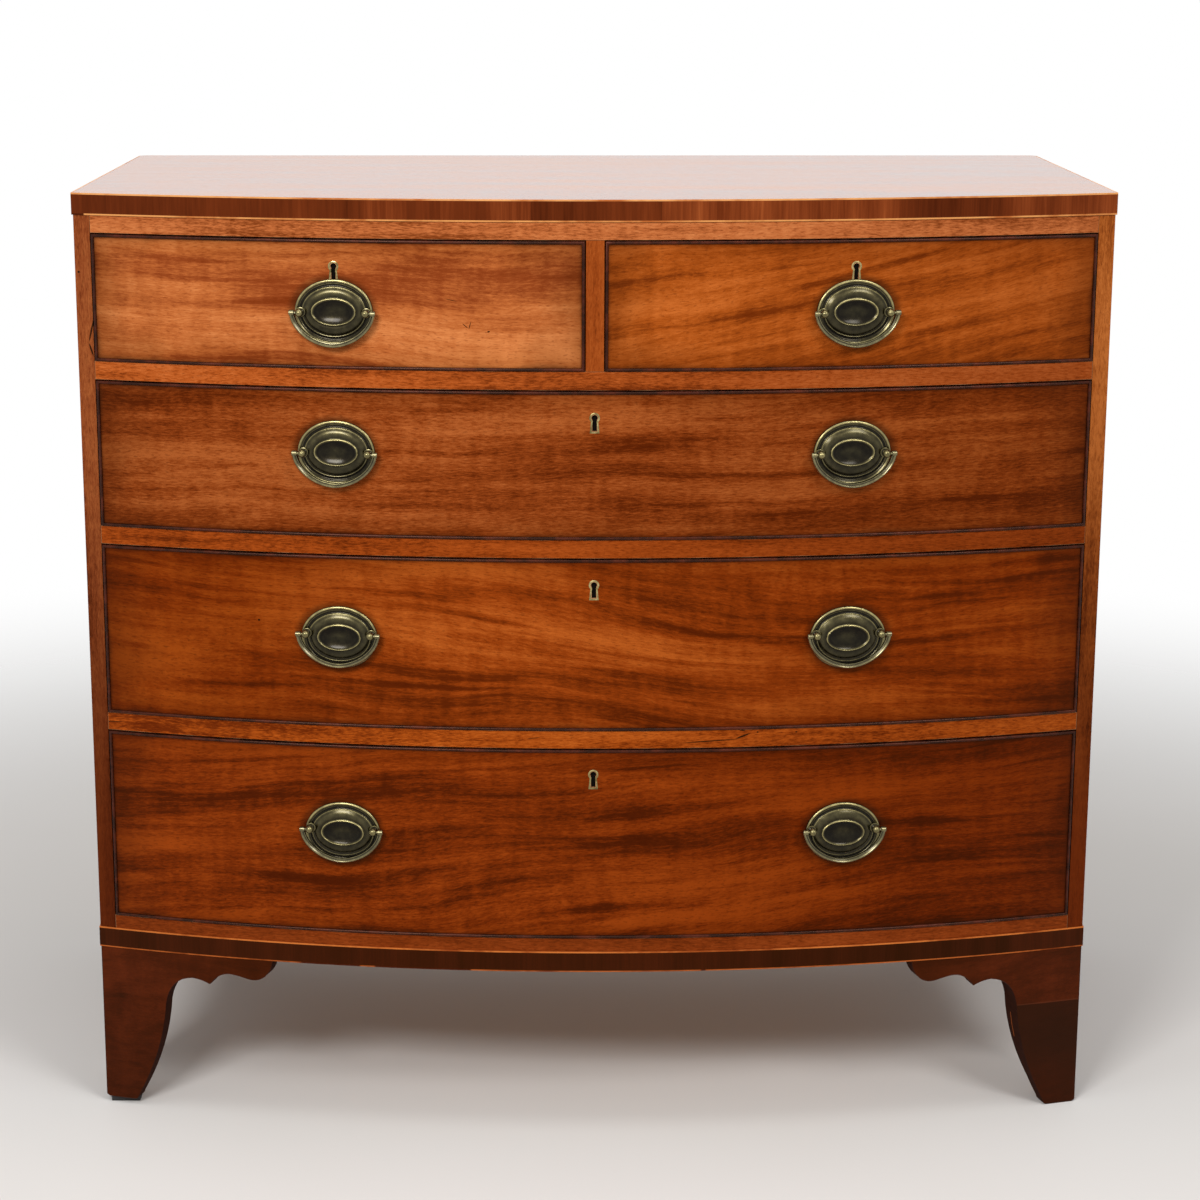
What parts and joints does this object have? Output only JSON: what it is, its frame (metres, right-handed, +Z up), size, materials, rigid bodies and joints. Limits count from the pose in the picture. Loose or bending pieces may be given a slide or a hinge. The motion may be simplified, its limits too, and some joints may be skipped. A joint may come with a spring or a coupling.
{
  "type": "bow front chest of drawers",
  "caption": "Free-standing bow front chest of drawers with cock-beaded drawers, oval bail handles, crossbanded edges and shaped bracket feet.",
  "frame": {"origin": "on the floor, under the middle of the width and depth", "axes": "+X to the right seen from the front, +Y to the back, +Z up"},
  "size_m": [1.05, 0.5698, 0.977],
  "materials": {
    "mahogany_top": "french polished mahogany, crossbanded edge",
    "mahogany_side": "polished mahogany veneer on pine",
    "mahogany_rail": "polished mahogany",
    "mahogany_front": "french polished figured mahogany veneer",
    "cross_banding": "dark crossbanding between light strings",
    "cock_bead": "dark stained mahogany bead",
    "foot_mahogany": "dark polished mahogany",
    "oak_lining": "bare oak, aged",
    "pine": "bare pine, aged",
    "aged_brass": "aged brass with dark hollows",
    "lock_brass": "dull brass"
  },
  "bodies": {
    "carcase": {"top_slab": "mahogany_top", "side_left": "mahogany_side", "side_right": "mahogany_side", "back_boards": "pine", "top_rail": "mahogany_rail", "drawer_rail_upper": "mahogany_rail", "drawer_rail_middle": "mahogany_rail", "drawer_rail_lower": "mahogany_rail", "bottom_rail": "mahogany_rail", "centre_partition": "mahogany_rail", "dust_board_upper": "pine", "dust_board_middle": "pine", "dust_board_lower": "pine", "bottom_board": "pine", "base_band": "cross_banding", "foot_front_left": "foot_mahogany", "foot_front_right": "foot_mahogany", "foot_rear_left": "foot_mahogany", "foot_rear_right": "foot_mahogany"},
    "drawer_short_left": {"short_left_front": "mahogany_front", "short_left_bead": "cock_bead", "short_left_lining": "oak_lining", "short_left_bottom": "oak_lining", "short_left_lock": "lock_brass", "short_left_handle_plate": "aged_brass"},
    "short_left_bail": {"short_left_handle_bail": "aged_brass"},
    "drawer_short_right": {"short_right_front": "mahogany_front", "short_right_bead": "cock_bead", "short_right_lining": "oak_lining", "short_right_bottom": "oak_lining", "short_right_lock": "lock_brass", "short_right_handle_plate": "aged_brass"},
    "short_right_bail": {"short_right_handle_bail": "aged_brass"},
    "drawer_upper": {"upper_front": "mahogany_front", "upper_bead": "cock_bead", "upper_lining": "oak_lining", "upper_bottom": "oak_lining", "upper_lock": "lock_brass", "upper_left_handle_plate": "aged_brass", "upper_right_handle_plate": "aged_brass"},
    "upper_left_bail": {"upper_left_handle_bail": "aged_brass"},
    "upper_right_bail": {"upper_right_handle_bail": "aged_brass"},
    "drawer_middle": {"middle_front": "mahogany_front", "middle_bead": "cock_bead", "middle_lining": "oak_lining", "middle_bottom": "oak_lining", "middle_lock": "lock_brass", "middle_left_handle_plate": "aged_brass", "middle_right_handle_plate": "aged_brass"},
    "middle_left_bail": {"middle_left_handle_bail": "aged_brass"},
    "middle_right_bail": {"middle_right_handle_bail": "aged_brass"},
    "drawer_lower": {"lower_front": "mahogany_front", "lower_bead": "cock_bead", "lower_lining": "oak_lining", "lower_bottom": "oak_lining", "lower_lock": "lock_brass", "lower_left_handle_plate": "aged_brass", "lower_right_handle_plate": "aged_brass"},
    "lower_left_bail": {"lower_left_handle_bail": "aged_brass"},
    "lower_right_bail": {"lower_right_handle_bail": "aged_brass"}
  },
  "joints": [
    {"name": "short_left_slide", "type": "slide", "parent": "carcase", "child": "drawer_short_left", "axis": [0, -1, 0], "range_m": [0, 0.36]},
    {"name": "short_left_bail_swing", "type": "hinge", "parent": "drawer_short_left", "child": "short_left_bail", "pos_m": [-0.25979, -0.27325, 0.8643], "axis": [-0.9897, 0.1432, 0], "range_deg": [0, 100]},
    {"name": "short_right_slide", "type": "slide", "parent": "carcase", "child": "drawer_short_right", "axis": [0, -1, 0], "range_m": [0, 0.36]},
    {"name": "short_right_bail_swing", "type": "hinge", "parent": "drawer_short_right", "child": "short_right_bail", "pos_m": [0.25979, -0.27325, 0.8643], "axis": [-0.9897, -0.1432, 0], "range_deg": [0, 100]},
    {"name": "upper_slide", "type": "slide", "parent": "carcase", "child": "drawer_upper", "axis": [0, -1, 0], "range_m": [0, 0.36]},
    {"name": "upper_left_bail_swing", "type": "hinge", "parent": "drawer_upper", "child": "upper_left_bail", "pos_m": [-0.25979, -0.27325, 0.723], "axis": [-0.9897, 0.1432, 0], "range_deg": [0, 100]},
    {"name": "upper_right_bail_swing", "type": "hinge", "parent": "drawer_upper", "child": "upper_right_bail", "pos_m": [0.25979, -0.27325, 0.723], "axis": [-0.9897, -0.1432, 0], "range_deg": [0, 100]},
    {"name": "middle_slide", "type": "slide", "parent": "carcase", "child": "drawer_middle", "axis": [0, -1, 0], "range_m": [0, 0.36]},
    {"name": "middle_left_bail_swing", "type": "hinge", "parent": "drawer_middle", "child": "middle_left_bail", "pos_m": [-0.25979, -0.27325, 0.5365], "axis": [-0.9897, 0.1432, 0], "range_deg": [0, 100]},
    {"name": "middle_right_bail_swing", "type": "hinge", "parent": "drawer_middle", "child": "middle_right_bail", "pos_m": [0.25979, -0.27325, 0.5365], "axis": [-0.9897, -0.1432, 0], "range_deg": [0, 100]},
    {"name": "lower_slide", "type": "slide", "parent": "carcase", "child": "drawer_lower", "axis": [0, -1, 0], "range_m": [0, 0.36]},
    {"name": "lower_left_bail_swing", "type": "hinge", "parent": "drawer_lower", "child": "lower_left_bail", "pos_m": [-0.25979, -0.27325, 0.3285], "axis": [-0.9897, 0.1432, 0], "range_deg": [0, 100]},
    {"name": "lower_right_bail_swing", "type": "hinge", "parent": "drawer_lower", "child": "lower_right_bail", "pos_m": [0.25979, -0.27325, 0.3285], "axis": [-0.9897, -0.1432, 0], "range_deg": [0, 100]}
  ]
}
